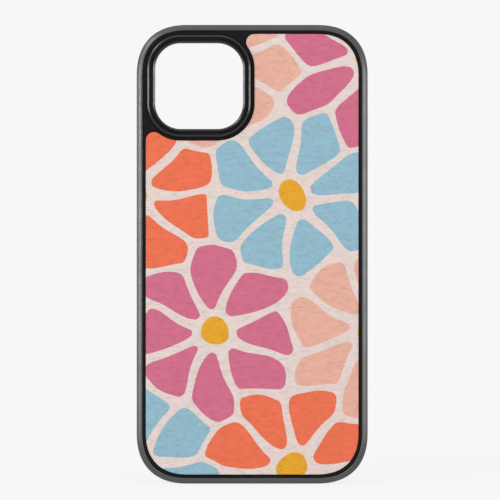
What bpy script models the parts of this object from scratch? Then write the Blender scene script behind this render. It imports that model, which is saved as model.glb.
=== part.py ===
"""Phone case: a hard frame over a soft bumper, with a leather panel, a camera ring and three press buttons.

The case stands upright. +Z runs up its long side, the leather back faces -Y and the phone goes in from +Y.
The origin is at the middle of the bottom edge, halfway through the depth.
Depths are world Y values. An inset is a distance inward from the outer silhouette.
"""

import math

import bmesh
import bpy

MM = 0.001

# Driving sizes
PHONE_WIDTH = 71.5 * MM
PHONE_HEIGHT = 146.7 * MM
WALL = 2.4 * MM
CASE_WIDTH = PHONE_WIDTH + 2 * WALL
CASE_HEIGHT = PHONE_HEIGHT + 2 * WALL
MID_HEIGHT = CASE_HEIGHT / 2
CORNER_REACH = 17.2 * MM
CORNER_POWER = 2.4
CORNER_STEPS = 14
ARC_STEPS = 8
SMALL_ARC_STEPS = 4
WELD_DISTANCE = 0.001 * MM
SMOOTH_ANGLE = math.radians(30)
CORNER_ANGLE = math.radians(60)

# Gaps between neighbours
SIDE_GAP = 0.15 * MM
GLUE_GAP = 0.1 * MM
PANEL_GAP = 0.25 * MM
BUTTON_GAP = 0.2 * MM
CUT_SPARE = 1.0 * MM

# Depths, from the camera ring at the back to the front lip
RING_TOP = -6.3 * MM
FRAME_BACK = -5.3 * MM
BUMPER_BACK = -5.15 * MM
LEATHER_BACK = -5.0 * MM
LEATHER_THICKNESS = 0.8 * MM
ADHESIVE_THICKNESS = 0.15 * MM
BOARD_THICKNESS = 0.5 * MM
FLOOR_THICKNESS = 0.7 * MM
LINING_THICKNESS = 0.3 * MM
POCKET_DEPTH = 7.75 * MM
FRAME_FRONT = 4.9 * MM
LIP_FRONT = 6.3 * MM

LEATHER_INNER = LEATHER_BACK + LEATHER_THICKNESS
ADHESIVE_BACK = LEATHER_INNER + GLUE_GAP
ADHESIVE_INNER = ADHESIVE_BACK + ADHESIVE_THICKNESS
BOARD_BACK = ADHESIVE_INNER + GLUE_GAP
BOARD_INNER = BOARD_BACK + BOARD_THICKNESS
FLOOR_BACK = BOARD_INNER + GLUE_GAP
FLOOR_INNER = FLOOR_BACK + FLOOR_THICKNESS
LINING_BACK = FLOOR_INNER + GLUE_GAP
LINING_INNER = LINING_BACK + LINING_THICKNESS
LIP_INNER = LINING_INNER + POCKET_DEPTH

# Frame section
FRAME_WALL = 1.05 * MM
SHOULDER_START = -4.4 * MM
SHOULDER_INSET = 1.6 * MM
SHOULDER_BULGE = 0.05 * MM
FLANGE_INSET = 1.95 * MM
FLANGE_DROP = 0.18 * MM
FLANGE_INNER = -4.25 * MM
EDGE_CHAMFER = 0.15 * MM

# Bumper section
BUMPER_INSET = FRAME_WALL + SIDE_GAP
BAND_INSET = FLANGE_INSET + SIDE_GAP
STEP_DEPTH = FLANGE_INNER + SIDE_GAP
LIP_OUTER_INSET = 0.3 * MM
LIP_INNER_INSET = 3.5 * MM
LIP_ROUND = 0.75 * MM
LIP_SEAT = FRAME_FRONT + SIDE_GAP
LINING_INSET = WALL + 0.3 * MM

# Leather panel and camera area, centres measured from the case's middle line and its base
LEATHER_INSET = 3.0 * MM
RING_WIDTH = 33.8 * MM
RING_HEIGHT = 33.2 * MM
RING_CORNER = 10.84 * MM
RING_CENTRE_X = -17.55 * MM
RING_CENTRE_Z = 131.3 * MM
SURROUND_WIDTH = 1.4 * MM
LOBE_RADIUS = 2.75 * MM

# Camera ring section, as insets from its outer bright edge
RING_FOOT = -0.2 * MM
RING_SEAT = -4.5 * MM
RING_SEAT_INSET = -0.4 * MM
RING_CHAMFER = 0.65 * MM
RING_CHAMFER_DROP = 0.35 * MM
RING_CREST_INSET = 0.75 * MM
RING_SLEEVE_GAP = 0.25 * MM
RING_SLEEVE_INSET = 1.15 * MM
RING_BORE_INSET = 2.4 * MM
RING_BORE_START = -4.7 * MM
RING_SLEEVE_END = -2.65 * MM
LINING_HOLE_INSET = 2.0 * MM

# Buttons, switch, port and speakers; heights are measured down from the top of the phone
BUTTON_DEPTH = 1.5 * MM
BUTTON_THICKNESS = 3.2 * MM
CAP_INSET = 0.05 * MM
CAP_THICKNESS = 0.9 * MM
CAP_EDGE = 0.2 * MM
PUSHER_THICKNESS = 1.0 * MM
PUSHER_WIDTH = 1.8 * MM
PUSHER_SHORTER = 3.0 * MM
CAP_RECESS_INSET = 1.65 * MM
PHONE_TOP = CASE_HEIGHT - WALL
VOLUME_UP_Z = PHONE_TOP - 43.5 * MM
VOLUME_DOWN_Z = PHONE_TOP - 57.5 * MM
VOLUME_LENGTH = 10.6 * MM
SIDE_BUTTON_Z = PHONE_TOP - 48.0 * MM
SIDE_BUTTON_LENGTH = 16.5 * MM
SWITCH_Z = PHONE_TOP - 30.5 * MM
SWITCH_LENGTH = 9.0 * MM
SWITCH_WIDTH = 5.0 * MM
PORT_WIDTH = 13.0 * MM
PORT_DEPTH = 5.2 * MM
SPEAKER_WIDTH = 13.5 * MM
SPEAKER_DEPTH = 2.6 * MM
SPEAKER_X = 18.5 * MM

# How a flat outline is turned before it is extruded: drawn in XZ, in YZ or in XY
FACING_BACK = (math.pi / 2, 0, 0)
FACING_SIDE = (math.pi / 2, 0, math.pi / 2)
FACING_BASE = (0, 0, 0)


def new_collection(name):
    collection = bpy.data.collections.new(name)
    bpy.context.scene.collection.children.link(collection)
    return collection


def new_material(name, colour, roughness, metallic=0.0):
    material = bpy.data.materials.new(name)
    material.use_nodes = True
    shader = material.node_tree.nodes["Principled BSDF"]
    shader.inputs["Base Color"].default_value = (*colour, 1)
    shader.inputs["Roughness"].default_value = roughness
    shader.inputs["Metallic"].default_value = metallic
    material.diffuse_color = (*colour, 1)
    return material


def arc(centre, radius, start, end, steps=ARC_STEPS):
    """Points along a circle, from one angle to another in degrees."""
    points = []
    for i in range(steps + 1):
        angle = math.radians(start + (end - start) * i / steps)
        points.append((centre[0] + radius * math.cos(angle), centre[1] + radius * math.sin(angle)))
    return points


def soft_corner(centre, reach, start):
    """A quarter of a superellipse, which meets the straight sides more gently than an arc does."""
    points = []
    for i in range(CORNER_STEPS + 1):
        angle = math.radians(90 * i / CORNER_STEPS)
        along = reach * math.cos(angle) ** (2 / CORNER_POWER)
        across = reach * math.sin(angle) ** (2 / CORNER_POWER)
        turn = math.radians(start)
        x = along * math.cos(turn) - across * math.sin(turn)
        z = along * math.sin(turn) + across * math.cos(turn)
        points.append((centre[0] + x, centre[1] + z))
    return points


def case_corner(start, inset):
    """One corner of the case outline; start is 0 for the upper right, 90 for the upper left and so on."""
    side_x = CASE_WIDTH / 2 - CORNER_REACH
    side_z = CASE_HEIGHT / 2 - CORNER_REACH
    sign_x = 1 if start in (0, 270) else -1
    sign_z = 1 if start in (0, 90) else -1
    return soft_corner((sign_x * side_x, MID_HEIGHT + sign_z * side_z), CORNER_REACH - inset, start)


def case_outline(inset):
    """The case's silhouette, moved inward by inset."""
    points = []
    for start in (0, 90, 180, 270):
        points += case_corner(start, inset)
    return points


def ring_outline(inset):
    """The camera ring's rounded square, moved inward by inset."""
    radius = RING_CORNER - inset
    reach_x = RING_WIDTH / 2 - RING_CORNER
    reach_z = RING_HEIGHT / 2 - RING_CORNER
    points = []
    for start, sign_x, sign_z in ((0, 1, 1), (90, -1, 1), (180, -1, -1), (270, 1, -1)):
        centre = (RING_CENTRE_X + sign_x * reach_x, RING_CENTRE_Z + sign_z * reach_z)
        points += arc(centre, radius, start, start + 90, CORNER_STEPS)
    return points


def leather_outline(inset):
    """The case outline less the camera's surround, with a round lobe where the two meet at each end.

    Each lobe is a circle that touches the panel's edge and the surround's corner arc.
    """
    edge = LEATHER_INSET + inset
    left = -CASE_WIDTH / 2 + edge
    top = CASE_HEIGHT - edge
    lobe = LOBE_RADIUS - inset
    surround = RING_CORNER + SURROUND_WIDTH + inset
    reach_x = RING_WIDTH / 2 - RING_CORNER
    reach_z = RING_HEIGHT / 2 - RING_CORNER
    upper = (RING_CENTRE_X + reach_x, RING_CENTRE_Z + reach_z)
    lower = (RING_CENTRE_X + reach_x, RING_CENTRE_Z - reach_z)
    far = (RING_CENTRE_X - reach_x, RING_CENTRE_Z - reach_z)
    drop = top - lobe - upper[1]
    top_lobe = (upper[0] + math.sqrt((surround + lobe) ** 2 - drop**2), top - lobe)
    shift = far[0] - left - lobe
    left_lobe = (left + lobe, far[1] - math.sqrt((surround + lobe) ** 2 - shift**2))
    top_angle = math.degrees(math.atan2(drop, top_lobe[0] - upper[0]))
    left_angle = math.degrees(math.atan2(left_lobe[1] - far[1], left_lobe[0] - far[0]))
    points = case_corner(0, edge)
    points += arc(top_lobe, lobe, 90, 180 + top_angle)
    points += arc(upper, surround, top_angle, 0)[1:]
    points += arc(lower, surround, 0, -90, CORNER_STEPS)
    points += arc(far, surround, -90, left_angle)
    points += arc(left_lobe, lobe, 180 + left_angle, 180)[1:]
    points += case_corner(180, edge)
    points += case_corner(270, edge)
    return points


def stadium(length, width, centre=(0, 0), upright=False):
    """A slot outline with half-round ends, lying along its first axis or upright along its second."""
    radius = width / 2
    reach = length / 2 - radius
    if upright:
        first, second, start = (0, reach), (0, -reach), 0
    else:
        first, second, start = (reach, 0), (-reach, 0), -90
    first = (centre[0] + first[0], centre[1] + first[1])
    second = (centre[0] + second[0], centre[1] + second[1])
    return arc(first, radius, start, start + 180) + arc(second, radius, start + 180, start + 360)


def flat_curve(name, points):
    """A closed flat curve through the points, less those that repeat the one before."""
    kept = [p for i, p in enumerate(points) if math.dist(p, points[i - 1]) > WELD_DISTANCE]
    curve = bpy.data.curves.new(name, "CURVE")
    curve.dimensions = "2D"
    spline = curve.splines.new("POLY")
    spline.points.add(len(kept) - 1)
    for point, (x, y) in zip(spline.points, kept):
        point.co = (x, y, 0, 1)
    spline.use_cyclic_u = True
    return curve


def curve_to_mesh(name, curve, collection, location, rotation):
    """Makes the curve a welded mesh object with its normals outward and its origin at location."""
    source = bpy.data.objects.new(name + "_curve", curve)
    bpy.context.scene.collection.objects.link(source)
    graph = bpy.context.evaluated_depsgraph_get()
    mesh = bpy.data.meshes.new_from_object(source.evaluated_get(graph))
    bpy.data.objects.remove(source)
    shell = bmesh.new()
    shell.from_mesh(mesh)
    bmesh.ops.remove_doubles(shell, verts=shell.verts, dist=WELD_DISTANCE)
    bmesh.ops.recalc_face_normals(shell, faces=shell.faces)
    shell.to_mesh(mesh)
    shell.free()
    mesh.name = name
    obj = bpy.data.objects.new(name, mesh)
    obj.location = location
    obj.rotation_euler = rotation
    collection.objects.link(obj)
    return obj


def prism(name, points, thickness, location, rotation, collection):
    """A flat outline extruded evenly to both sides of its plane."""
    curve = flat_curve(name, points)
    curve.fill_mode = "BOTH"
    curve.extrude = thickness / 2
    return curve_to_mesh(name, curve, collection, location, rotation)


def plate(name, points, back, front, collection):
    """An outline drawn in XZ that fills the depths from back to front."""
    return prism(name, points, front - back, (0, (back + front) / 2, 0), FACING_BACK, collection)


def sweep(name, points, section, collection):
    """A section of (inset, depth) points carried round a closed outline drawn in XZ."""
    profile = flat_curve(name + "_section", [(inset, -depth) for inset, depth in section])
    profile_object = bpy.data.objects.new(name + "_section", profile)
    bpy.context.scene.collection.objects.link(profile_object)
    path = flat_curve(name, points)
    path.fill_mode = "NONE"
    path.bevel_mode = "OBJECT"
    path.bevel_object = profile_object
    obj = curve_to_mesh(name, path, collection, (0, 0, 0), FACING_BACK)
    bpy.data.objects.remove(profile_object)
    return obj


def combine(obj, other, operation):
    modifier = obj.modifiers.new(other.name, "BOOLEAN")
    modifier.operation = operation
    modifier.object = other
    modifier.solver = "EXACT"


def as_cutter(obj):
    obj.hide_render = True
    obj.display_type = "WIRE"
    return obj


def finish_piece(obj, material):
    obj.data.materials.append(material)
    obj.data.shade_smooth()
    obj.data.set_sharp_from_angle(angle=SMOOTH_ANGLE)


def side_slot(name, length, width, height, sign, inset_from, inset_to, collection):
    """A slot-shaped solid that runs through the side wall between two insets; sign picks the side."""
    centre_x = sign * (CASE_WIDTH / 2 - (inset_from + inset_to) / 2)
    outline = stadium(length, width, upright=True)
    location = (centre_x, BUTTON_DEPTH, height)
    return prism(name, outline, inset_to - inset_from, location, FACING_SIDE, collection)


def base_slot(name, width, depth, centre_x, collection):
    """A slot-shaped cutter that runs through the bottom wall."""
    reach = WALL + 2 * CUT_SPARE
    outline = stadium(width, depth)
    location = (centre_x, BUTTON_DEPTH, WALL / 2)
    return as_cutter(prism(name, outline, reach, location, FACING_BASE, collection))


def make_wall_cutters(collection):
    """The openings that go through both the frame and the bumper."""
    switch = side_slot(
        "switch_cutter", SWITCH_LENGTH, SWITCH_WIDTH, SWITCH_Z, 1, -CUT_SPARE, WALL + CUT_SPARE, collection
    )
    cutters = [as_cutter(switch)]
    cutters.append(base_slot("port_cutter", PORT_WIDTH, PORT_DEPTH, 0, collection))
    for name, centre_x in (("left_speaker_cutter", -SPEAKER_X), ("right_speaker_cutter", SPEAKER_X)):
        cutters.append(base_slot(name, SPEAKER_WIDTH, SPEAKER_DEPTH, centre_x, collection))
    return cutters


def make_outer_frame(parts):
    """Hard frame: a thin wall, a sloped shoulder, and a flange that hooks over the bumper's back."""
    slope_mid = (SHOULDER_INSET / 2 - SHOULDER_BULGE, (SHOULDER_START + FRAME_BACK) / 2 - SHOULDER_BULGE)
    section = [
        (0, FRAME_FRONT - 2 * EDGE_CHAMFER),
        (0, SHOULDER_START),
        slope_mid,
        (SHOULDER_INSET, FRAME_BACK),
        (FLANGE_INSET, FRAME_BACK + FLANGE_DROP),
        (FLANGE_INSET, FLANGE_INNER),
        (FRAME_WALL, FLANGE_INNER),
        (FRAME_WALL, FRAME_FRONT),
        (2 * EDGE_CHAMFER, FRAME_FRONT),
    ]
    return sweep("outer_frame", case_outline(0), section, parts)


def make_inner_bumper(parts, tools):
    """Soft tray: walls and front lip swept in one, a back slab, then the recesses and the camera opening."""
    lip_outer_centre = (LIP_OUTER_INSET + LIP_ROUND, LIP_FRONT - LIP_ROUND)
    lip_inner_centre = (LIP_INNER_INSET - LIP_ROUND / 2, LIP_FRONT - LIP_ROUND / 2)
    section = [(BUMPER_INSET, STEP_DEPTH), (BUMPER_INSET, LIP_SEAT), (LIP_OUTER_INSET, LIP_SEAT)]
    section += arc(lip_outer_centre, LIP_ROUND, 180, 90, SMALL_ARC_STEPS)
    section += arc(lip_inner_centre, LIP_ROUND / 2, 90, 0, SMALL_ARC_STEPS)
    section += [(LIP_INNER_INSET - EDGE_CHAMFER, LIP_INNER), (WALL, LIP_INNER), (WALL, STEP_DEPTH)]
    bumper = sweep("inner_bumper", case_outline(0), section, parts)
    slab = plate("bumper_slab", case_outline(BAND_INSET), BUMPER_BACK, FLOOR_INNER, tools)
    combine(bumper, as_cutter(slab), "UNION")
    panel_cut = leather_outline(-PANEL_GAP)
    ring_seat_cut = ring_outline(RING_SEAT_INSET)
    camera_cut = ring_outline(RING_SLEEVE_INSET - RING_SLEEVE_GAP)
    for name, outline, back, front in (
        ("panel_recess_cutter", panel_cut, BUMPER_BACK - CUT_SPARE, FLOOR_BACK),
        ("ring_seat_cutter", ring_seat_cut, BUMPER_BACK - CUT_SPARE, RING_SEAT),
        ("camera_cutter", camera_cut, BUMPER_BACK - CUT_SPARE, FLOOR_INNER + CUT_SPARE),
    ):
        combine(bumper, as_cutter(plate(name, outline, back, front, tools)), "DIFFERENCE")
    return bumper


def make_camera_ring(parts):
    """Raised ring: a chamfered rim, a funnel with a flatter foot down to the bore, and a sleeve."""
    section = [
        (RING_FOOT, RING_SEAT - SIDE_GAP),
        (RING_FOOT, RING_TOP + RING_CHAMFER_DROP),
        (RING_FOOT + RING_CHAMFER, RING_TOP),
        (RING_CREST_INSET, RING_TOP),
        (RING_BORE_INSET - RING_CHAMFER, RING_BORE_START - RING_CHAMFER_DROP),
        (RING_BORE_INSET, RING_BORE_START),
        (RING_BORE_INSET, RING_SLEEVE_END),
        (RING_SLEEVE_INSET, RING_SLEEVE_END),
        (RING_SLEEVE_INSET, RING_SEAT - SIDE_GAP),
    ]
    return sweep("camera_ring", ring_outline(0), section, parts)


def make_button(name, length, height, sign, frame, bumper, parts, tools):
    """A cap flush with the frame and a pusher behind it; cuts their openings in the frame and the bumper."""
    cap_end = CAP_INSET + CAP_THICKNESS
    pusher_start = cap_end + GLUE_GAP
    pusher_length = length - PUSHER_SHORTER
    cap = side_slot(name + "_cap", length, BUTTON_THICKNESS, height, sign, CAP_INSET, cap_end, parts)
    bevel = cap.modifiers.new("edge", "BEVEL")
    bevel.width = CAP_EDGE
    bevel.segments = 2
    bevel.limit_method = "ANGLE"
    bevel.angle_limit = CORNER_ANGLE
    pusher = side_slot(
        name + "_pusher",
        pusher_length,
        PUSHER_WIDTH,
        height,
        sign,
        pusher_start,
        pusher_start + PUSHER_THICKNESS,
        parts,
    )
    wide = (length + 2 * BUTTON_GAP, BUTTON_THICKNESS + 2 * BUTTON_GAP)
    narrow = (pusher_length + 2 * BUTTON_GAP, PUSHER_WIDTH + 2 * BUTTON_GAP)
    cap_cut = side_slot(name + "_cap_cutter", *wide, height, sign, -CUT_SPARE, CAP_RECESS_INSET, tools)
    pusher_cut = side_slot(name + "_pusher_cutter", *narrow, height, sign, 0, WALL + CUT_SPARE, tools)
    combine(frame, as_cutter(cap_cut), "DIFFERENCE")
    combine(bumper, cap_cut, "DIFFERENCE")
    combine(bumper, as_cutter(pusher_cut), "DIFFERENCE")
    return cap, pusher


def main():
    for obj in list(bpy.data.objects):
        bpy.data.objects.remove(obj)
    parts = new_collection("phone_case")
    tools = new_collection("cutters")

    graphite = new_material("graphite", (0.11, 0.11, 0.11), 0.42, 0.5)
    black_rubber = new_material("black_rubber", (0.012, 0.012, 0.012), 0.6)
    black_gloss = new_material("black_gloss", (0.006, 0.006, 0.006), 0.25)
    leather = new_material("printed_leather", (0.79, 0.65, 0.6), 0.55)
    board = new_material("board", (0.35, 0.35, 0.36), 0.5)
    adhesive = new_material("adhesive", (0.7, 0.66, 0.55), 0.4)
    microfibre = new_material("microfibre", (0.06, 0.06, 0.065), 0.95)

    frame = make_outer_frame(parts)
    bumper = make_inner_bumper(parts, tools)
    for cutter in make_wall_cutters(tools):
        combine(frame, cutter, "DIFFERENCE")
        combine(bumper, cutter, "DIFFERENCE")
    finish_piece(make_camera_ring(parts), black_gloss)
    finish_piece(plate("leather_insert", leather_outline(0), LEATHER_BACK, LEATHER_INNER, parts), leather)
    adhesive_outline = leather_outline(PANEL_GAP)
    finish_piece(plate("adhesive_sheet", adhesive_outline, ADHESIVE_BACK, ADHESIVE_INNER, parts), adhesive)
    finish_piece(plate("back_board", leather_outline(0), BOARD_BACK, BOARD_INNER, parts), board)

    lining = plate("microfibre_lining", case_outline(LINING_INSET), LINING_BACK, LINING_INNER, parts)
    lining_hole = ring_outline(LINING_HOLE_INSET)
    lining_cut = plate(
        "lining_cutter", lining_hole, LINING_BACK - CUT_SPARE, LINING_INNER + CUT_SPARE, tools
    )
    combine(lining, as_cutter(lining_cut), "DIFFERENCE")
    finish_piece(lining, microfibre)

    for name, length, height, sign in (
        ("volume_up", VOLUME_LENGTH, VOLUME_UP_Z, 1),
        ("volume_down", VOLUME_LENGTH, VOLUME_DOWN_Z, 1),
        ("side_button", SIDE_BUTTON_LENGTH, SIDE_BUTTON_Z, -1),
    ):
        cap, pusher = make_button(name, length, height, sign, frame, bumper, parts, tools)
        finish_piece(cap, graphite)
        finish_piece(pusher, black_rubber)
    finish_piece(frame, graphite)
    finish_piece(bumper, black_rubber)


main()
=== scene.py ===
import math

import bmesh
import bpy
import numpy as np
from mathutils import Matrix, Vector, noise
from mathutils.geometry import delaunay_2d_cdt


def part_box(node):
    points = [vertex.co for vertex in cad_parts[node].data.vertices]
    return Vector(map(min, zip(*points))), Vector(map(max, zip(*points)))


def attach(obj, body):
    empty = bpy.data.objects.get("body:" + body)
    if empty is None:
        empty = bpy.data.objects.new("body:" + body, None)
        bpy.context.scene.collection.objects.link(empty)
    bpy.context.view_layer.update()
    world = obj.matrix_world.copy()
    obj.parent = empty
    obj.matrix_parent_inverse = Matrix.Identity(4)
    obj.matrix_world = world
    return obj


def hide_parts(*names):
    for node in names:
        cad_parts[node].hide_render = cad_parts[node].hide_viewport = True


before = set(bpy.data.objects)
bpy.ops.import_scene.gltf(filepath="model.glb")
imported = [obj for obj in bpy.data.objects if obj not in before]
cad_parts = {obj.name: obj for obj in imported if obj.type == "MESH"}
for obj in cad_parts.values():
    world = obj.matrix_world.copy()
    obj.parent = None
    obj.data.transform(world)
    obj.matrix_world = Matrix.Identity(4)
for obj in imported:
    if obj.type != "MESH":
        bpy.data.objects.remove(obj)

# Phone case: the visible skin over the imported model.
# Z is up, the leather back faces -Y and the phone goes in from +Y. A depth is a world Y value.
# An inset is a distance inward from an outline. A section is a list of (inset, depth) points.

for left_over in ("Cube", "Light", "Camera"):
    if left_over in bpy.data.objects:
        bpy.data.objects.remove(bpy.data.objects[left_over])
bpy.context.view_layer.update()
MM = 0.001

# The solids' boxes
FRAME_LOW, FRAME_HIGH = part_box("outer_frame")
BUMPER_LOW, BUMPER_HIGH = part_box("inner_bumper")
RING_LOW, RING_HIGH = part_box("camera_ring")
LEATHER_LOW, LEATHER_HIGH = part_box("leather_insert")
_, BOARD_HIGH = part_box("back_board")
LINING_LOW, LINING_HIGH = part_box("microfibre_lining")

CASE_WIDTH = FRAME_HIGH.x - FRAME_LOW.x
CASE_HEIGHT = FRAME_HIGH.z - FRAME_LOW.z
HALF_WIDTH = CASE_WIDTH / 2
MID_HEIGHT = (FRAME_HIGH.z + FRAME_LOW.z) / 2
WALL = 2.4 * MM
CORNER_REACH = 17.2 * MM
CORNER_POWER = 2.4
CORNER_STEPS = 56
ARC_STEPS = 24
ROUNDING_STEPS = 6
WELD_DISTANCE = 0.001 * MM
SMOOTH_ANGLE = math.radians(35)
MOUTH_ANGLE = 15

# Gaps between neighbours
SIDE_GAP = 0.15 * MM
GLUE_GAP = 0.1 * MM
PANEL_GAP = 0.25 * MM
BUTTON_GAP = 0.2 * MM
CUT_SPARE = 1.0 * MM
MOUTH_ROUND = 0.22 * MM
RECESS_ROUND = 0.15 * MM
EDGE_ROUND = 0.1 * MM
TIGHT_ROUND = 0.05 * MM

# Frame section
FRAME_WALL = 1.05 * MM
SHOULDER_START = -4.4 * MM
SHOULDER_INSET = 1.6 * MM
SHOULDER_BULGE = 0.05 * MM
FLANGE_INSET = 1.95 * MM
FLANGE_DROP = 0.06 * MM
FLANGE_INNER = -4.25 * MM
FRONT_ROUND = 0.3 * MM
SIDE_ROUND = 0.35 * MM
SHOULDER_ROUND = 1.2 * MM
CREST_INSET = SHOULDER_INSET - 0.1 * MM
CREST_ROUND = 0.2 * MM
FLANGE_ROUND = 0.24 * MM
INNER_EDGE_ROUND = 0.12 * MM

# Bumper section
BUMPER_INSET = FRAME_WALL + SIDE_GAP
BAND_INSET = FLANGE_INSET + SIDE_GAP
STEP_DEPTH = FLANGE_INNER + SIDE_GAP
LIP_OUTER_INSET = 0.3 * MM
LIP_INNER_INSET = 3.5 * MM
LIP_INNER_EDGE = 0.15 * MM
LIP_ROUND = 0.75 * MM
LIP_SEAT = FRAME_HIGH.y + SIDE_GAP
FLOOR_BACK = BOARD_HIGH.y + GLUE_GAP
FLOOR_INNER = LINING_LOW.y - GLUE_GAP
POCKET_DEPTH = 7.75 * MM
LIP_INNER = LINING_HIGH.y + POCKET_DEPTH

# Leather panel and camera ring
LEATHER_INSET = LEATHER_LOW.x - FRAME_LOW.x
LEATHER_ROUND = 0.3 * MM
LEATHER_GRID = 0.42 * MM
LEATHER_FLAT = 0.1 * MM
RELIEF_FADE = 1.2 * MM
RING_FOOT = -0.2 * MM
RING_SEAT = -4.5 * MM
RING_SEAT_INSET = -0.4 * MM
RING_WIDTH = RING_HIGH.x - RING_LOW.x + 2 * RING_FOOT
RING_HEIGHT = RING_HIGH.z - RING_LOW.z + 2 * RING_FOOT
RING_CORNER = 10.84 * MM
RING_CENTRE = np.array([(RING_LOW.x + RING_HIGH.x) / 2, (RING_LOW.z + RING_HIGH.z) / 2])
RING_CREST_INSET = 0.75 * MM
RING_CHAMFER = 0.65 * MM
RING_CHAMFER_DROP = 0.35 * MM
RING_BORE_INSET = 2.4 * MM
RING_BORE_START = -4.7 * MM
RING_SLEEVE_INSET = 1.15 * MM
RING_SLEEVE_GAP = 0.25 * MM
RING_FOOT_ROUND = 0.08 * MM
RING_OUTER_ROUND = 0.25 * MM
RING_CREST_ROUND = 0.2 * MM
RING_FUNNEL_ROUND = 0.15 * MM
SURROUND_WIDTH = 1.4 * MM
LOBE_RADIUS = 2.75 * MM
LINING_INSET = LINING_LOW.x - FRAME_LOW.x
LINING_HOLE_INSET = 2.0 * MM
LINING_GRID = 0.8 * MM
LINING_BACK_ROUND = 0.08 * MM
LINING_FRONT_ROUND = 0.12 * MM
LINING_BACK_FLAT = 0.15 * MM
LINING_FRONT_FLAT = 0.2 * MM

# Openings in the walls
CAP_RECESS_INSET = 1.65 * MM
SWITCH_DROP = 30.5 * MM
SWITCH_HEIGHT = CASE_HEIGHT - WALL - SWITCH_DROP
SWITCH_LENGTH = 9.0 * MM
SWITCH_WIDTH = 5.0 * MM
PORT_WIDTH = 13.0 * MM
PORT_DEPTH = 5.2 * MM
SPEAKER_WIDTH = 13.5 * MM
SPEAKER_DEPTH = 2.6 * MM
SPEAKER_X = 18.5 * MM
BUTTON_LOW, BUTTON_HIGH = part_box("side_button_cap")
BUTTON_DEPTH = (BUTTON_LOW.y + BUTTON_HIGH.y) / 2

BUTTONS = ("volume_up", "volume_down", "side_button")
CAP_ROUND = 0.28 * MM
PUSHER_ROUND = 0.2 * MM

# The print, in millimetres and degrees: plain daisies in a staggered repeat
DAISY_STEP = (52, 45)
DAISY_START = (-13, 50)
DAISY_COLUMNS = (-1, 0, 1)
DAISY_ROWS = (-2, -1, 0, 1, 2)
DAISY_TURN = 19
DAISY_INKS = ("pink", "blue", "peach", "orange")
HEART_RADIUS = 5.3
PETALS = 8
PETAL_START = 8.6
PETAL_LENGTH = 14
PETAL_ROOT = 1.9
PETAL_TIP = 8.4
PRINT_GAP = 1.9
PRINT_ROUND = 2.0
PRINT_SWAY = 0.8
SWAY_ACROSS = (0.11, 0.24, 0.5)
SWAY_UP = (0.27, -0.13, 2)
INK_EDGE = 0.07 * MM
INK_WOBBLE = 0.09 * MM

# The leather's relief, in millimetres: each layer's size across and up, and its height
SWELL_SIZE = (9, 6)
SWELL_HEIGHT = 0.03
PILLOW_SIZE = (4.2, 1.6)
PILLOW_HEIGHT = 0.07
PILLOW_TOP = 0.3
PEBBLE_SIZE = (1.6, 1.2)
PEBBLE_HEIGHT = 0.012

# Colours, as sRGB of 0 to 255, and the share of the studio's light that the print has to give back
CREAM = (229, 212, 205)
INKS = {
    "pink": (209, 109, 138),
    "blue": (146, 186, 203),
    "peach": (232, 176, 157),
    "orange": (237, 113, 78),
    "mustard": (230, 165, 35),
}
GRAPHITE = (72, 72, 73)
BLACK = (14, 14, 16)
CHARCOAL = (62, 62, 66)
BOARD_DARK = (150, 150, 152)
BOARD_PALE = (176, 175, 172)
FILM_DARK = (214, 205, 178)
FILM_PALE = (226, 219, 196)
PRINT_GAIN = 0.685

# Where most of a noise's values lie, and where an edge starts and ends to count as convex
NOISE_LOW = 0.3
NOISE_HIGH = 0.7
EDGE_START = 0.52
EDGE_END = 0.62

# Studio: sizes in metres, powers in watts
PAPER = 0.93
FLOOR_TONE = 0.8
FLOOR_SHADOW = 0.1
FLOOR_SIZE = 8
FLOOR_PARTS = 8
SHADOW_START = 0.1
SHADOW_END = 0.6
SIDE_LIGHT_X = 0.79
SIDE_LIGHT_Y = -0.55
SIDE_LIGHT_HEIGHT = 0.13
SIDE_LIGHT_SIZE = (0.35, 0.25)
SIDE_LIGHT_POWER = 3.25
RIGHT_LIGHT_SHARE = 0.92
CORNER_LIGHT_REACH = 0.54
CORNER_LIGHT_SIZE = (0.25, 0.25)
CORNER_LIGHT_POWER = 2.7
TOP_LIGHT_PLACE = (0, -0.35, 0.95)
TOP_LIGHT_SIZE = (0.7, 0.3)
TOP_LIGHT_POWER = 0.4
CAMERA_LENS = 200
CAMERA_SENSOR = 36
VIEW_WIDTH = 165.1 * MM
VIEW_CENTRE_X = -0.72 * MM
VIEW_CENTRE_Z = MID_HEIGHT + 1.41 * MM


# ---------------------------------------------------------------- outlines

def arc(centre, radius, start, end, steps=ARC_STEPS):
    """Points along a circle, from one angle to another in degrees."""
    angles = np.radians(np.linspace(start, end, steps + 1))
    return np.array(centre) + radius * np.stack([np.cos(angles), np.sin(angles)], 1)


def case_corner(start, inset):
    """A quarter of a superellipse; start is 0 for the upper right corner, 90 for the upper left and so on."""
    angles = np.radians(np.linspace(0, 90, CORNER_STEPS + 1))
    along = (CORNER_REACH - inset) * np.cos(angles) ** (2 / CORNER_POWER)
    across = (CORNER_REACH - inset) * np.sin(angles) ** (2 / CORNER_POWER)
    turn = math.radians(start)
    x = along * math.cos(turn) - across * math.sin(turn)
    z = along * math.sin(turn) + across * math.cos(turn)
    sign_x = 1 if start in (0, 270) else -1
    sign_z = 1 if start in (0, 90) else -1
    x += sign_x * (HALF_WIDTH - CORNER_REACH)
    z += MID_HEIGHT + sign_z * (CASE_HEIGHT / 2 - CORNER_REACH)
    return np.stack([x, z], 1)


def case_outline(inset=0.0):
    """The case's outline as its back is seen, drawn in by an inset."""
    return np.concatenate([case_corner(start, inset) for start in (0, 90, 180, 270)])


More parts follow.
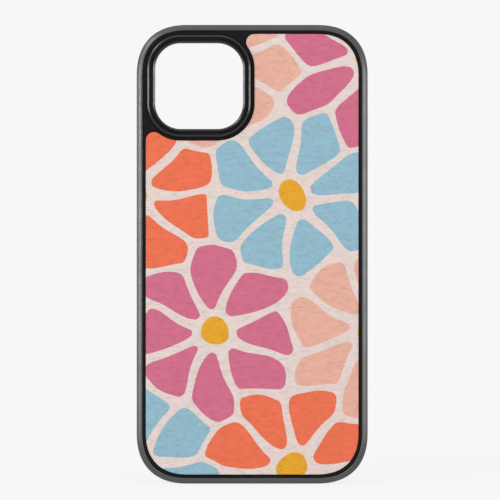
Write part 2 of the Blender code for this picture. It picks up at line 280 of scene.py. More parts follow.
def ring_outline():
    """The camera ring's rounded square."""
    reach_x = RING_WIDTH / 2 - RING_CORNER
    reach_z = RING_HEIGHT / 2 - RING_CORNER
    corners = []
    for start, sign_x, sign_z in ((0, 1, 1), (90, -1, 1), (180, -1, -1), (270, 1, -1)):
        centre = RING_CENTRE + (sign_x * reach_x, sign_z * reach_z)
        corners.append(arc(centre, RING_CORNER, start, start + 90, 2 * ARC_STEPS))
    return np.concatenate(corners)


def leather_outline():
    """The case outline less the camera's surround, with a round lobe where the two meet at each end.

    Each lobe is a circle that touches the panel's edge and the surround's corner arc.
    """
    left = -HALF_WIDTH + LEATHER_INSET
    top = CASE_HEIGHT - LEATHER_INSET
    lobe = LOBE_RADIUS
    surround = RING_CORNER + SURROUND_WIDTH
    reach = np.array([RING_WIDTH / 2 - RING_CORNER, RING_HEIGHT / 2 - RING_CORNER])
    upper = RING_CENTRE + reach
    lower = RING_CENTRE + reach * (1, -1)
    far = RING_CENTRE - reach
    drop = top - lobe - upper[1]
    shift = far[0] - left - lobe
    top_lobe = (upper[0] + math.sqrt((surround + lobe) ** 2 - drop**2), top - lobe)
    left_lobe = (left + lobe, far[1] - math.sqrt((surround + lobe) ** 2 - shift**2))
    top_angle = math.degrees(math.atan2(drop, top_lobe[0] - upper[0]))
    left_angle = math.degrees(math.atan2(left_lobe[1] - far[1], left_lobe[0] - far[0]))
    runs = [
        case_corner(0, LEATHER_INSET),
        arc(top_lobe, lobe, 90, 180 + top_angle),
        arc(upper, surround, top_angle, 0),
        arc(lower, surround, 0, -90, 2 * ARC_STEPS),
        arc(far, surround, -90, left_angle),
        arc(left_lobe, lobe, 180 + left_angle, 180),
        case_corner(180, LEATHER_INSET),
        case_corner(270, LEATHER_INSET),
    ]
    return np.concatenate(runs)


def stadium(width, height):
    """A slot outline with half-round ends, centred on the origin; the longer side keeps the straight runs."""
    radius = min(width, height) / 2
    if width > height:
        reach = np.array([width / 2 - radius, 0])
        return np.concatenate([arc(reach, radius, -90, 90), arc(-reach, radius, 90, 270)])
    reach = np.array([0, height / 2 - radius])
    return np.concatenate([arc(reach, radius, 0, 180), arc(-reach, radius, 180, 360)])


def divided(outline, spacing=math.inf):
    """The closed outline without repeated points, its long runs divided to the spacing."""
    made = []
    for here, after in zip(outline, np.roll(outline, -1, axis=0)):
        length = math.dist(here, after)
        if length < WELD_DISTANCE:
            continue
        steps = max(1, math.ceil(length / spacing))
        made += [here + (after - here) * i / steps for i in range(steps)]
    return np.array(made)


def inward(outline):
    """Unit vectors that point into an outline which runs counter-clockwise."""
    along = np.roll(outline, -1, axis=0) - np.roll(outline, 1, axis=0)
    along /= np.linalg.norm(along, axis=1)[:, None]
    return np.stack([-along[:, 1], along[:, 0]], 1)


def rounded(corners):
    """A section from (inset, depth, radius) corners: each corner with a radius becomes an arc."""
    made = []
    for i, (inset, depth, radius) in enumerate(corners):
        corner = np.array([inset, depth])
        if radius == 0:
            made.append(corner)
            continue
        before = np.array(corners[i - 1][:2]) - corner
        after = np.array(corners[(i + 1) % len(corners)][:2]) - corner
        before /= np.linalg.norm(before)
        after /= np.linalg.norm(after)
        half = math.acos(np.clip(before @ after, -1, 1)) / 2
        middle = (before + after) / np.linalg.norm(before + after)
        centre = corner + middle * radius / math.sin(half)
        first = corner + before * radius / math.tan(half) - centre
        last = corner + after * radius / math.tan(half) - centre
        start = math.atan2(first[1], first[0])
        turn = (math.atan2(last[1], last[0]) - start + math.pi) % math.tau - math.pi
        for step in range(ROUNDING_STEPS + 1):
            angle = start + turn * step / ROUNDING_STEPS
            made.append(centre + radius * np.array([math.cos(angle), math.sin(angle)]))
    return made


# ---------------------------------------------------------------- solids

def on_back(a, b, depth):
    """Places an outline of (x, height); the section's depth is the world's."""
    return (a, depth, b)


def on_side(sign, height):
    """Places an outline of (depth, height) on a side wall; the section's depth is the inset from its face."""
    return lambda a, b, inset: (sign * (HALF_WIDTH - inset), BUTTON_DEPTH + a, height + b)


def on_base(centre_x):
    """Places an outline of (x, depth) on the bottom edge; the section's depth is the height above it."""
    return lambda a, b, height: (centre_x + a, BUTTON_DEPTH + b, height)


def new_object(name, mesh):
    obj = bpy.data.objects.new(name, mesh)
    bpy.context.scene.collection.objects.link(obj)
    return obj


def shell(name, outline, section, place=on_back, closed=True):
    """Carries a section round an outline; an open section has flat ends."""
    outline = divided(outline)
    direction = inward(outline)
    build = bmesh.new()
    loops = []
    for inset, depth in section:
        loops.append([build.verts.new(place(a, b, depth)) for a, b in outline + inset * direction])
    pairs = list(zip(loops, loops[1:]))
    if closed:
        pairs.append((loops[-1], loops[0]))
    else:
        build.faces.new(loops[0])
        build.faces.new(loops[-1])
    for lower, upper in pairs:
        for i in range(len(lower)):
            build.faces.new((lower[i - 1], lower[i], upper[i], upper[i - 1]))
    bmesh.ops.recalc_face_normals(build, faces=build.faces)
    mesh = bpy.data.meshes.new(name)
    build.to_mesh(mesh)
    build.free()
    return new_object(name, mesh)


def mouth(start, end, radius):
    """A cutter's section that leaves a rounded rim on the face at start, and at end unless that is None.

    The rim's arc stops short of the face's own direction, so that the cutter crosses the face squarely.
    """
    angles = np.radians(np.linspace(MOUTH_ANGLE, 90, ROUNDING_STEPS + 1))
    rim = [(radius * (math.sin(angle) - 1), radius * (1 - math.cos(angle))) for angle in angles]
    section = [(rim[0][0], start - CUT_SPARE)]
    section += [(inset, start + depth) for inset, depth in rim]
    if end is not None:
        section += [(inset, end - depth) for inset, depth in rim[::-1]]
        section.append((rim[0][0], end + CUT_SPARE))
    return section


def cut(obj, cutters):
    """Takes the cutters out of the object in one exact boolean, and removes them."""
    group = bpy.data.collections.new("cutters")
    for cutter in cutters:
        group.objects.link(cutter)
    modifier = obj.modifiers.new("cut", "BOOLEAN")
    modifier.operand_type = "COLLECTION"
    modifier.collection = group
    modifier.solver = "EXACT"
    graph = bpy.context.evaluated_depsgraph_get()
    mesh = bpy.data.meshes.new_from_object(obj.evaluated_get(graph))
    obj.modifiers.clear()
    obj.data = mesh
    for cutter in cutters:
        bpy.data.objects.remove(cutter)
    bpy.data.collections.remove(group)


def smooth(obj):
    """Smooth shading with sharp edges, flat faces keeping flat normals."""
    obj.data.shade_smooth()
    obj.data.set_sharp_from_angle(angle=SMOOTH_ANGLE)
    normals = obj.modifiers.new("weighted", "WEIGHTED_NORMAL")
    normals.keep_sharp = True


def finish_piece(obj, material, solid, body="case"):
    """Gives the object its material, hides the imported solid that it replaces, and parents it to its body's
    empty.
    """
    obj.data.materials.clear()
    obj.data.materials.append(material)
    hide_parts(solid)
    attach(obj, body)


def wall_cutters(outer_inset, inner_inset):
    """The switch, port and speaker openings through a wall that lies between two insets."""
    section = mouth(outer_inset, inner_inset, MOUTH_ROUND)
    outlines = [
        (stadium(SWITCH_WIDTH, SWITCH_LENGTH), on_side(1, SWITCH_HEIGHT)),
        (stadium(PORT_WIDTH, PORT_DEPTH), on_base(0)),
        (stadium(SPEAKER_WIDTH, SPEAKER_DEPTH), on_base(-SPEAKER_X)),
        (stadium(SPEAKER_WIDTH, SPEAKER_DEPTH), on_base(SPEAKER_X)),
    ]
    cutters = []
    for outline, place in outlines:
        cutters.append(shell("opening_cutter", outline, section, place, closed=False))
    return cutters


def button_place(solid):
    """(length, width, height, sign, outer inset, inner inset) of a cap or pusher, from its solid."""
    low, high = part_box(solid)
    sign = 1 if low.x > 0 else -1
    outer = HALF_WIDTH - max(abs(low.x), abs(high.x))
    inner = HALF_WIDTH - min(abs(low.x), abs(high.x))
    return high.z - low.z, high.y - low.y, (low.z + high.z) / 2, sign, outer, inner


# ---------------------------------------------------------------- pieces

def make_frame(material):
    """Hard frame: thin wall, sloped shoulder, and a flange with a round edge over the bumper's back."""
    back = FRAME_LOW.y
    front = FRAME_HIGH.y
    middle = (SHOULDER_INSET / 2 - SHOULDER_BULGE, (SHOULDER_START + back) / 2 - SHOULDER_BULGE)
    section = rounded([
        (0, front, FRONT_ROUND),
        (0, SHOULDER_START, SIDE_ROUND),
        (*middle, SHOULDER_ROUND),
        (CREST_INSET, back, CREST_ROUND),
        (FLANGE_INSET, back + FLANGE_DROP, FLANGE_ROUND),
        (FLANGE_INSET, FLANGE_INNER, TIGHT_ROUND),
        (FRAME_WALL, FLANGE_INNER, TIGHT_ROUND),
        (FRAME_WALL, front, INNER_EDGE_ROUND),
    ])
    obj = shell("frame", case_outline(), section)
    cutters = wall_cutters(0, FRAME_WALL)
    for button in BUTTONS:
        length, width, height, sign, _, _ = button_place(button + "_cap")
        outline = stadium(width + 2 * BUTTON_GAP, length + 2 * BUTTON_GAP)
        section = mouth(0, FRAME_WALL, MOUTH_ROUND)
        cutters.append(shell("cap_cutter", outline, section, on_side(sign, height), closed=False))
    cut(obj, cutters)
    smooth(obj)
    finish_piece(obj, material, "outer_frame")


def make_bumper(material):
    """Soft tray: floor, walls and front lip in one turn of the section, with recesses and openings cut in."""
    section = rounded([
        (WALL, FLOOR_INNER, 0),
        (WALL, FLOOR_INNER + TIGHT_ROUND, 0),
        (WALL, LIP_INNER, TIGHT_ROUND),
        (LIP_INNER_INSET - LIP_INNER_EDGE, LIP_INNER, EDGE_ROUND),
        (LIP_INNER_INSET, BUMPER_HIGH.y, LIP_ROUND / 2),
        (LIP_OUTER_INSET, BUMPER_HIGH.y, LIP_ROUND),
        (LIP_OUTER_INSET, LIP_SEAT, EDGE_ROUND),
        (BUMPER_INSET, LIP_SEAT, 0),
        (BUMPER_INSET, STEP_DEPTH, 0),
        (BAND_INSET, STEP_DEPTH, 0),
        (BAND_INSET, BUMPER_LOW.y, RECESS_ROUND),
        (BAND_INSET + 3 * RECESS_ROUND, BUMPER_LOW.y, 0),
    ])
    obj = shell("bumper", case_outline(), section, closed=False)
    outline = divided(leather_outline())
    panel = outline - PANEL_GAP * inward(outline)
    recess = mouth(BUMPER_LOW.y, None, RECESS_ROUND) + [(0, FLOOR_BACK)]
    seat = [(RING_SEAT_INSET, BUMPER_LOW.y - CUT_SPARE), (RING_SEAT_INSET, RING_SEAT)]
    hole_inset = RING_SLEEVE_INSET - RING_SLEEVE_GAP
    hole = [(hole_inset, BUMPER_LOW.y - CUT_SPARE)]
    hole_mouth = mouth(RING_SEAT, FLOOR_INNER, EDGE_ROUND)
    hole += [(hole_inset + inset, depth) for inset, depth in hole_mouth[1:]]
    cutters = wall_cutters(BUMPER_INSET, WALL)
    cutters.append(shell("recess_cutter", panel, recess, closed=False))
    cutters.append(shell("seat_cutter", ring_outline(), seat, closed=False))
    cutters.append(shell("hole_cutter", ring_outline(), hole, closed=False))
    for button in BUTTONS:
        for part, start, end in (("_cap", 0, CAP_RECESS_INSET), ("_pusher", CAP_RECESS_INSET, WALL)):
            length, width, height, sign, _, _ = button_place(button + part)
            outline = stadium(width + 2 * BUTTON_GAP, length + 2 * BUTTON_GAP)
            if part == "_cap":
                section = [(0, start), (0, end)]
            else:
                section = mouth(start, end, EDGE_ROUND)
            cutters.append(shell("button_cutter", outline, section, on_side(sign, height), closed=False))
    cut(obj, cutters)
    smooth(obj)
    finish_piece(obj, material, "inner_bumper")


def make_ring(material):
    """Raised ring round the cameras: chamfered rim, funnel with a flatter foot, bore, and sleeve."""
    top = RING_LOW.y
    sleeve_end = RING_HIGH.y
    foot = RING_SEAT - SIDE_GAP
    section = rounded([
        (RING_FOOT, foot, RING_FOOT_ROUND),
        (RING_FOOT, top + RING_CHAMFER_DROP, RING_OUTER_ROUND),
        (RING_FOOT + RING_CHAMFER, top, RING_CREST_ROUND),
        (RING_CREST_INSET, top, EDGE_ROUND),
        (RING_BORE_INSET - RING_CHAMFER, RING_BORE_START - RING_CHAMFER_DROP, RING_FUNNEL_ROUND),
        (RING_BORE_INSET, RING_BORE_START, EDGE_ROUND),
        (RING_BORE_INSET, sleeve_end, EDGE_ROUND),
        (RING_SLEEVE_INSET, sleeve_end, EDGE_ROUND),
        (RING_SLEEVE_INSET, foot, 0),
    ])
    obj = shell("ring", ring_outline(), section)
    places = np.array([(v.co.x, v.co.z) for v in obj.data.vertices])
    inset = inside_depth(places, [divided(ring_outline())])
    depth = np.array([v.co.y for v in obj.data.vertices])
    # Painted highlight: this mask gives the two chamfers a lighter black and a stronger specular in the trim
    # material.
    chamfered = (inset < RING_FOOT + RING_CHAMFER) | (inset > RING_BORE_INSET - RING_CHAMFER)
    painted_highlight = obj.data.attributes.new("painted_highlight", "FLOAT", "POINT")
    painted_highlight.data.foreach_set("value", (chamfered & (depth < RING_BORE_START)).astype(float))
    smooth(obj)
    finish_piece(obj, material, "camera_ring")


def make_button(button, cap_material, pusher_material):
    """A flat cap with soft edges, and the pusher behind it."""
    for part, radius, material, slot in (
        ("_cap", CAP_ROUND, cap_material, "graphite_button"),
        ("_pusher", PUSHER_ROUND, pusher_material, "black_rubber"),
    ):
        length, width, height, sign, outer, inner = button_place(button + part)
        section = rounded([
            (radius * 3, outer, 0),
            (radius * 2, outer, 0),
            (0, outer, radius),
            (0, inner, radius / 2),
            (radius * 2, inner, 0),
            (radius * 3, inner, 0),
        ])
        outline = stadium(width, length)
        obj = shell(button + part + "_skin", outline, section, on_side(sign, height), closed=False)
        smooth(obj)
        finish_piece(obj, material, button + part, body_of_button(button))


def body_of_button(button):
    return button if button.endswith("button") else button + "_button"


def inside_depth(points, loops):
    """How far inside the closed loops each point lies, by the even-odd rule; negative outside them."""
    nearest = np.full(len(points), np.inf)
    within = np.zeros(len(points), bool)
    for loop in loops:
        for here, after in zip(loop, np.roll(loop, -1, axis=0)):
            run = after - here
            away = points - here
            along = np.clip(away @ run / (run @ run), 0, 1)
            nearest = np.minimum(nearest, np.hypot(*(away - along[:, None] * run).T))
            level = (here[1] > points[:, 1]) != (after[1] > points[:, 1])
            if level.any():
                within ^= level & (away[:, 0] < away[:, 1] * run[0] / run[1])
    return np.where(within, nearest, -nearest)


def grid_points(loops, spacing):
    """A staggered grid of points inside the loops, clear of their edges."""
    everything = np.concatenate(loops)
    low = everything.min(axis=0)
    high = everything.max(axis=0)
    row_step = spacing * math.sqrt(3) / 2
    rows = []
    for i, height in enumerate(np.arange(low[1], high[1], row_step)):
        across = np.arange(low[0] + (i % 2) * spacing / 2, high[0], spacing)
        rows.append(np.stack([across, np.full(len(across), height)], 1))
    points = np.concatenate(rows)
    return points[inside_depth(points, loops) > spacing / 2]


def fill(build, loops, depth, extra):
    """Closes the flat region between loops of vertices with triangles that also pass through extra points."""
    vertices = [v for loop in loops for v in loop]
    flat = [np.array([(v.co.x, v.co.z) for v in loop]) for loop in loops]
    vertices += [build.verts.new((x, depth, z)) for x, z in extra]
    points = [Vector((v.co.x, v.co.z)) for v in vertices]
    edges = []
    first = 0
    for loop in loops:
        edges += [(first + i, first + (i + 1) % len(loop)) for i in range(len(loop))]
        first += len(loop)
    _, _, faces, sources, _, _ = delaunay_2d_cdt(points, edges, [], 0, WELD_DISTANCE / 10)
    faces = np.array([[sources[corner][0] for corner in face] for face in faces])
    places = np.array(points)
    kept = inside_depth(places[faces].mean(axis=1), flat) > 0
    for face in faces[kept]:
        build.faces.new([vertices[corner] for corner in face])


def sheet_mesh(name, outlines, section, spacing):
    """A sheet in XZ: the first outline is its edge, the others are holes, all carried through the section.

    The face at the section's last point is a fine mesh.
    """
    build = bmesh.new()
    hidden = []
    shown = []
    for i, outline in enumerate(outlines):
        outline = divided(outline, spacing)
        direction = inward(outline) * (1 if i == 0 else -1)
        loops = []
        for inset, depth in section:
            loops.append([build.verts.new((a, depth, b)) for a, b in outline + inset * direction])
        for lower, upper in zip(loops, loops[1:]):
            for j in range(len(lower)):
                build.faces.new((lower[j - 1], lower[j], upper[j], upper[j - 1]))
        hidden.append(loops[0])
        shown.append(loops[-1])
    fill(build, hidden, section[0][1], [])
    flat = [np.array([(v.co.x, v.co.z) for v in loop]) for loop in shown]
    fill(build, shown, section[-1][1], grid_points(flat, spacing))
    bmesh.ops.recalc_face_normals(build, faces=build.faces)
    mesh = bpy.data.meshes.new(name)
    build.to_mesh(mesh)
    build.free()
    mesh.shade_smooth()
    return new_object(name, mesh)


def soft_max(a, b, width):
    """The larger of two fields, with a rounded meeting."""
    share = np.clip(0.5 + 0.5 * (a - b) / width, 0, 1)
    return b + (a - b) * share + width * share * (1 - share)


def petal_distance(points, centre, angle):
    """Distance from each point to a petal: a small circle and a larger one beyond it, joined by tangents."""
    out = np.array([math.cos(angle), math.sin(angle)])
    away = points - centre - PETAL_START * out
    along = away @ out
    across = abs(away @ np.array([-out[1], out[0]]))
    lean = (PETAL_ROOT - PETAL_TIP) / PETAL_LENGTH
    level = math.sqrt(1 - lean**2)
    reach = level * along - lean * across
    distance = level * across + lean * along - PETAL_ROOT
    distance = np.where(reach < 0, np.hypot(across, along) - PETAL_ROOT, distance)
    tip = np.hypot(across, along - PETAL_LENGTH) - PETAL_TIP
    return np.where(reach > level * PETAL_LENGTH, tip, distance)


def print_shapes(points):
    """(ink, distance of each point) for every heart and petal of the repeat."""
    shapes = []
    for row in DAISY_ROWS:
        for column in DAISY_COLUMNS:
            shift = column + row % 2 / 2
            centre = (DAISY_START[0] + DAISY_STEP[0] * shift, DAISY_START[1] + DAISY_STEP[1] * row)
            shapes.append(("mustard", np.hypot(*(points - centre).T) - HEART_RADIUS))
            ink = DAISY_INKS[(2 * column + row) % len(DAISY_INKS)]
            for i in range(PETALS):
                angle = math.radians(i * 360 / PETALS + DAISY_TURN * (row + 2 * column))
                shapes.append((ink, petal_distance(points, centre, angle)))
    return shapes


def ink_fields(places):
    """For each ink, the signed distance in metres from each place to the nearest printed edge.

    Where two shapes come close, both draw back to leave an even gap of bare leather.
    """
    x, z = places.T / MM
    sway = np.stack([np.sin(a * x + b * z + start) for a, b, start in (SWAY_ACROSS, SWAY_UP)], 1)
    shapes = print_shapes(places / MM + PRINT_SWAY * sway)
    ranked = np.sort(np.stack([distance for _, distance in shapes]), axis=0)
    second = -soft_max(-ranked[1], -ranked[2], PRINT_ROUND)
    fields = {}
    for ink, distance in shapes:
        other = np.where(distance <= ranked[0], second, ranked[0])
        field = soft_max(distance, (distance - other + PRINT_GAP) / 2, PRINT_ROUND)
        fields[ink] = np.minimum(fields[ink], field) if ink in fields else field
    return {ink: field * MM for ink, field in fields.items()}


def layer_noise(x, z, size, layer):
    """Noise of the given size in millimetres; each layer is another slice of the same noise."""
    return noise.noise(Vector((x / (size[0] * MM), z / (size[1] * MM), layer)))


def leather_relief(x, z):
    """Height of the leather's surface: broad swells, level pillows between creases, and a soft pebble."""
    swell = layer_noise(x, z, SWELL_SIZE, 1)
    pillow = abs(layer_noise(x, z, PILLOW_SIZE, 7))
    pebble = layer_noise(x, z, PEBBLE_SIZE, 21)
    height = SWELL_HEIGHT * swell + PILLOW_HEIGHT * min(pillow, PILLOW_TOP) + PEBBLE_HEIGHT * pebble
    return height * MM


def make_leather(material):
    """Printed leather panel: rolled rim, creased surface, and one distance attribute for each ink."""
    inner = LEATHER_HIGH.y
    back = LEATHER_LOW.y
    section = rounded([
        (LEATHER_FLAT, inner, 0),
        (0, inner, TIGHT_ROUND),
        (0, back, LEATHER_ROUND),
        (LEATHER_ROUND + LEATHER_FLAT, back, 0),
    ])
    obj = sheet_mesh("leather_panel", [leather_outline()], section, LEATHER_GRID)
    mesh = obj.data
    places = np.array([(v.co.x, v.co.z) for v in mesh.vertices])
    depth = inside_depth(places, [divided(leather_outline())])
    fade = np.clip(depth / RELIEF_FADE, 0, 1)
    for vertex, strength in zip(mesh.vertices, fade):
        if vertex.co.y < back + LEATHER_ROUND:
            vertex.co.y -= strength * leather_relief(vertex.co.x, vertex.co.z)
    for ink, field in ink_fields(places).items():
        attribute = mesh.attributes.new("ink_" + ink, "FLOAT", "POINT")
        attribute.data.foreach_set("value", field)
    finish_piece(obj, material, "leather_insert")


def make_lining(material):
    """Microfibre sheet on the bumper's floor, with soft edges and a hole round the camera ring."""
    section = rounded([
        (LINING_BACK_FLAT, LINING_LOW.y, 0),
        (0, LINING_LOW.y, LINING_BACK_ROUND),
        (0, LINING_HIGH.y, LINING_FRONT_ROUND),
        (LINING_FRONT_FLAT, LINING_HIGH.y, 0),
    ])
    outline = divided(ring_outline())
    hole = outline + LINING_HOLE_INSET * inward(outline)
    sheet = case_outline(LINING_INSET)
    obj = sheet_mesh("lining", [sheet, hole], section, LINING_GRID)
    finish_piece(obj, material, "microfibre_lining")


# ---------------------------------------------------------------- materials

def node(tree, kind, inputs=None, **settings):
    """Adds a shader node; an input's value is a number, a colour or another node's output."""
    made = tree.nodes.new("ShaderNode" + kind)
    for key, value in settings.items():
        setattr(made, key, value)
    for key, value in (inputs or {}).items():
        if isinstance(value, bpy.types.NodeSocket):
            tree.links.new(value, made.inputs[key])
        else:
            made.inputs[key].default_value = value
    return made


class Finish:
    """A material under construction: its node tree, its Principled shader and its object coordinates."""

    def __init__(self, name):
        self.material = bpy.data.materials.new(name)
        self.material.use_nodes = True
        self.tree = self.material.node_tree
        self.shader = self.tree.nodes["Principled BSDF"]
        self.place = node(self.tree, "TexCoord").outputs["Object"]

    def set(self, **inputs):
        for key, value in inputs.items():
            socket = self.shader.inputs[key.replace("_", " ").title().replace("Ior", "IOR")]
            if isinstance(value, bpy.types.NodeSocket):
                self.tree.links.new(value, socket)
            else:
                socket.default_value = value

    def stretched(self, x, y, z):
        """Object coordinates divided by a size along each axis, in metres."""
        inputs = {"Vector": self.place, "Scale": (1 / x, 1 / y, 1 / z)}
        return node(self.tree, "Mapping", inputs, vector_type="POINT").outputs["Vector"]

    def noise(self, size, detail=3, roughness=0.55, distortion=0.0):
        vector = self.stretched(*size) if isinstance(size, tuple) else self.stretched(size, size, size)
        inputs = {
            "Vector": vector,
            "Scale": 1,
            "Detail": detail,
            "Roughness": roughness,
            "Distortion": distortion,
        }
        return node(self.tree, "TexNoise", inputs).outputs["Fac"]

    def cells(self, size, wander=0.0):
        """Distance to the nearest edge of an irregular cell, in cell sizes; wander bends the edges."""
        vector = self.stretched(*size)
        drift = node(self.tree, "TexNoise", {"Vector": vector, "Scale": 1.3, "Detail": 2}).outputs["Color"]
        inputs = {0: drift, "Scale": wander}
        drift = node(self.tree, "VectorMath", inputs, operation="SCALE").outputs["Vector"]
        vector = node(self.tree, "VectorMath", {0: vector, 1: drift}, operation="ADD").outputs["Vector"]
        inputs = {"Vector": vector, "Scale": 1}
        return node(self.tree, "TexVoronoi", inputs, feature="DISTANCE_TO_EDGE").outputs["Distance"]

    def between(self, value, low, high, to_low=0.0, to_high=1.0):
        """Maps low..high to to_low..to_high with soft ends."""
        inputs = {"Value": value, 1: low, 2: high, 3: to_low, 4: to_high}
        return node(self.tree, "MapRange", inputs, interpolation_type="SMOOTHSTEP").outputs["Result"]

    def work_out(self, operation, a, b):
        return node(self.tree, "Math", {0: a, 1: b}, operation=operation).outputs["Value"]

    def mix(self, share, a, b, blend_type="MIX"):
        made = node(self.tree, "Mix", data_type="RGBA", blend_type=blend_type)
        for key, value in ((0, share), (6, a), (7, b)):
            if isinstance(value, bpy.types.NodeSocket):
                self.tree.links.new(value, made.inputs[key])
            else:
                made.inputs[key].default_value = value
        return made.outputs[2]

    def bump(self, height, size, strength=1.0, under=None):
        """Adds relief of the given size in metres on top of another bump's normal."""
        inputs = {"Height": height, "Distance": size, "Strength": strength}
        if under is not None:
            inputs["Normal"] = under
        return node(self.tree, "Bump", inputs).outputs["Normal"]

    def varied(self, value, to_low, to_high):
        """Spreads the usual range of a noise over to_low..to_high."""
        return self.between(value, NOISE_LOW, NOISE_HIGH, to_low, to_high)

    def edges(self):
        """How convex a spot is: 1 on outer edges, 0 on flat and hollow places."""
        pointiness = node(self.tree, "NewGeometry").outputs["Pointiness"]
        return self.between(pointiness, EDGE_START, EDGE_END)


def colour(value, gain=1.0):
    """A shader colour from an sRGB triple of 0 to 255."""
    linear = []
    for channel in value:
        channel /= 255
        linear.append(gain * (channel / 12.92 if channel <= 0.04045 else ((channel + 0.055) / 1.055) ** 2.4))
    return (*linear, 1)


def leather_finish():
    """Cream leather with flat printed inks, a pebbled grain, and short level creases darkened with painted
    shade.
    """
    f = Finish("printed_leather")
    wobble = f.between(f.noise(0.5 * MM, detail=2), 0, 1, -INK_WOBBLE, INK_WOBBLE)
    tone = colour(CREAM, PRINT_GAIN)
    for ink, value in INKS.items():
        field = node(f.tree, "Attribute", attribute_name="ink_" + ink).outputs["Fac"]
        field = f.work_out("ADD", field, wobble)
        share = f.between(field, INK_EDGE, -INK_EDGE)
        tone = f.mix(share, tone, colour(value, PRINT_GAIN))
    shown = f.between(f.noise((2.6 * MM, 2.6 * MM, 1.4 * MM), detail=2), 0.46, 0.6)
    crease = f.between(f.cells((3 * MM, 2.4 * MM, 0.9 * MM), wander=0.7), 0.16, 0)
    crease = f.work_out("MULTIPLY", crease, shown)
    patches = f.varied(f.noise((4 * MM, 4 * MM, 1.8 * MM), detail=4, roughness=0.6), 0.96, 1.03)
    fine = f.between(f.noise((0.6 * MM, 0.5 * MM, 0.45 * MM)), 0.25, 0.75, 0.975, 1.02)
    # Painted shade: the creases' colour is darkened by up to nine percent.
    depth = f.between(crease, 0, 1, 1, 0.91)
    shade = f.work_out("MULTIPLY", f.work_out("MULTIPLY", patches, fine), depth)
    tone = f.mix(1.0, tone, shade, "MULTIPLY")
    pebble = f.between(f.cells((0.95 * MM, 0.8 * MM, 0.75 * MM)), 0.0, 0.3)
    wrinkle = f.noise((2.4 * MM, 1.8 * MM, 0.9 * MM), roughness=0.6, distortion=0.4)
    pores = f.noise(0.22 * MM, detail=2)
    normal = f.bump(wrinkle, 0.18 * MM)
    normal = f.bump(f.work_out("SUBTRACT", 1, crease), 0.07 * MM, under=normal)
    normal = f.bump(pebble, 0.016 * MM, under=normal)
    normal = f.bump(pores, 0.014 * MM, under=normal)
    f.set(base_color=tone, roughness=f.varied(pores, 0.5, 0.64), normal=normal)
    f.set(specular_ior_level=0.2)
    return f.material


def graphite_finish():
    """Satin graphite coat: fine sand texture, faint drift in tone, and a lighter tone along convex edges that
    is partly rubbed wear and partly painted highlight.
    """
    f = Finish("graphite")
    drift = f.varied(f.noise((9 * MM, 9 * MM, 14 * MM)), 0.94, 1.06)
    grit = f.noise(0.09 * MM, detail=2)
    # Convex edges get a lighter copy of the graphite: partly rubbed wear, partly painted highlight.
    base = f.mix(f.edges(), colour(GRAPHITE), colour(GRAPHITE, gain=1.25))
    shade = f.work_out("MULTIPLY", drift, f.between(grit, 0.2, 0.8, 0.95, 1.05))
    tone = f.mix(1.0, base, shade, "MULTIPLY")
    smears = f.noise((6 * MM, 6 * MM, 3 * MM), detail=4, roughness=0.65)
    f.set(base_color=tone, metallic=0.5, roughness=f.between(smears, 0.3, 0.75, 0.3, 0.38))
    f.set(normal=f.bump(grit, 0.006 * MM))
    return f.material


def rubber_finish():
    """Matte black rubber: a fine moulded grain, duller patches where it has been handled, and a painted
    highlight along convex edges.
    """
    f = Finish("black_rubber")
    grit = f.noise(0.16 * MM)
    smears = f.noise((8 * MM, 8 * MM, 5 * MM), detail=4, roughness=0.6)
    # Painted highlight: convex edges get a lighter copy of the black.
    tone = f.mix(f.edges(), colour(BLACK), colour(BLACK, gain=1.6))
    tone = f.mix(1.0, tone, f.varied(smears, 0.9, 1.15), "MULTIPLY")
    f.set(base_color=tone, roughness=f.varied(smears, 0.46, 0.58), specular_ior_level=0.09)
    f.set(normal=f.bump(grit, 0.01 * MM))
    return f.material


def trim_finish():
    """Black lacquered ring with a painted highlight along its two chamfers: a lighter black and a stronger
    specular there.
    """
    f = Finish("black_trim")
    haze = f.noise(2.5 * MM, detail=5, roughness=0.6)
    grit = f.noise(0.08 * MM, detail=2)
    painted_highlight_share = node(f.tree, "Attribute", attribute_name="painted_highlight").outputs["Fac"]
    # Painted highlight: on the chamfers the black is lightened and the specular raised.
    f.set(base_color=f.mix(painted_highlight_share, colour(BLACK), colour(BLACK, gain=1.5)))
    f.set(specular_ior_level=f.between(painted_highlight_share, 0, 1, 0.1, 0.42))
    f.set(roughness=f.varied(haze, 0.22, 0.3), normal=f.bump(grit, 0.003 * MM))
    return f.material


def microfibre_finish():
    """Charcoal microfibre: a short nap that is brushed in broad strokes and lit by its own sheen."""
    f = Finish("microfibre")
    strokes = f.noise((16 * MM, 16 * MM, 5 * MM), detail=4, roughness=0.6, distortion=0.6)
    nap = f.noise((0.16 * MM, 0.16 * MM, 0.3 * MM), roughness=0.7)
    shade = f.work_out("MULTIPLY", f.varied(strokes, 0.8, 1.25), f.between(nap, 0.2, 0.8, 0.7, 1.3))
    tone = f.mix(1.0, colour(CHARCOAL), shade, "MULTIPLY")
    f.set(base_color=tone, roughness=0.95, sheen_weight=0.45, sheen_roughness=0.5, specular_ior_level=0.1)
    f.set(normal=f.bump(nap, 0.08 * MM))
    return f.material


def board_finish():
    """Grey pressed board."""
    f = Finish("stiff_board")
    fibres = f.noise((0.5 * MM, 0.5 * MM, 2.5 * MM), detail=4, roughness=0.7)
    tone = f.mix(fibres, colour(BOARD_DARK), colour(BOARD_PALE))
    f.set(base_color=tone, roughness=0.7, normal=f.bump(fibres, 0.03 * MM))
    return f.material


def adhesive_finish():
    """Yellowish film with a faint orange-peel."""
    f = Finish("adhesive_film")
    peel = f.noise(1.2 * MM)
    tone = f.mix(peel, colour(FILM_DARK), colour(FILM_PALE))
    f.set(base_color=tone, roughness=0.35, normal=f.bump(peel, 0.02 * MM))
    return f.material


# ---------------------------------------------------------------- studio

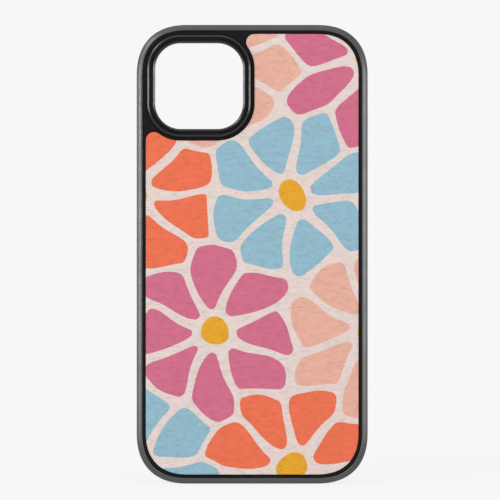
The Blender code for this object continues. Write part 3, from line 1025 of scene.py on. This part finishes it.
def area_light(name, location, size, power):
    """A soft rectangular light that faces the middle of the case."""
    data = bpy.data.lights.new(name, "AREA")
    data.shape = "RECTANGLE"
    data.size, data.size_y = size
    data.energy = power
    obj = new_object(name, data)
    obj.location = location
    toward = Vector((0, 0, MID_HEIGHT)) - Vector(location)
    obj.rotation_euler = toward.to_track_quat("-Z", "Z").to_euler()
    obj.visible_camera = False


def make_studio():
    """Pale floor and surround of one brightness, softboxes at the sides and upper left, a weak one above."""
    world = bpy.data.worlds.new("studio")
    bpy.context.scene.world = world
    world.use_nodes = True
    world.node_tree.nodes["Background"].inputs["Color"].default_value = (PAPER, PAPER, PAPER, 1)

    material = bpy.data.materials.new("floor")
    material.use_nodes = True
    tree = material.node_tree
    tree.nodes.clear()
    place = node(tree, "TexCoord").outputs["Object"]
    distance = node(tree, "VectorMath", {0: place}, operation="LENGTH").outputs["Value"]
    inputs = {"Value": distance, 1: SHADOW_START, 2: SHADOW_END, 3: FLOOR_SHADOW, 4: 0}
    share = node(tree, "MapRange", inputs, interpolation_type="SMOOTHSTEP").outputs["Result"]
    glow = node(tree, "Emission", {"Color": (PAPER, PAPER, PAPER, 1)})
    paper = node(tree, "BsdfDiffuse", {"Color": (FLOOR_TONE, FLOOR_TONE, FLOOR_TONE, 1)})
    mixed = node(tree, "MixShader", {0: share, 1: glow.outputs[0], 2: paper.outputs[0]})
    node(tree, "OutputMaterial", {"Surface": mixed.outputs[0]})
    build = bmesh.new()
    bmesh.ops.create_grid(build, x_segments=FLOOR_PARTS, y_segments=FLOOR_PARTS, size=FLOOR_SIZE)
    mesh = bpy.data.meshes.new("floor")
    build.to_mesh(mesh)
    build.free()
    mesh.materials.append(material)
    new_object("floor", mesh)

    for name, sign, share in (("left_softbox", -1, 1), ("right_softbox", 1, RIGHT_LIGHT_SHARE)):
        location = (sign * SIDE_LIGHT_X, SIDE_LIGHT_Y, SIDE_LIGHT_HEIGHT)
        area_light(name, location, SIDE_LIGHT_SIZE, share * SIDE_LIGHT_POWER)
    reach = CORNER_LIGHT_REACH
    area_light("corner_softbox", (-reach, -reach, MID_HEIGHT + reach), CORNER_LIGHT_SIZE, CORNER_LIGHT_POWER)
    area_light("top_softbox", TOP_LIGHT_PLACE, TOP_LIGHT_SIZE, TOP_LIGHT_POWER)


def make_camera():
    """Straight on to the leather back through a long lens."""
    data = bpy.data.cameras.new("camera")
    data.lens = CAMERA_LENS
    data.sensor_width = CAMERA_SENSOR
    obj = new_object("camera", data)
    distance = VIEW_WIDTH * CAMERA_LENS / CAMERA_SENSOR
    obj.location = (VIEW_CENTRE_X, SHOULDER_START - distance, VIEW_CENTRE_Z)
    obj.rotation_euler = (math.pi / 2, 0, 0)
    bpy.context.scene.camera = obj


def main():
    bpy.context.scene.view_settings.view_transform = "Standard"
    make_camera()
    make_studio()
    graphite = graphite_finish()
    rubber = rubber_finish()
    make_frame(graphite)
    make_bumper(rubber)
    make_ring(trim_finish())
    make_leather(leather_finish())
    make_lining(microfibre_finish())
    for button in BUTTONS:
        make_button(button, graphite, rubber)
    for name, finish in (("back_board", board_finish()), ("adhesive_sheet", adhesive_finish())):
        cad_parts[name].data.materials.clear()
        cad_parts[name].data.materials.append(finish)


main()
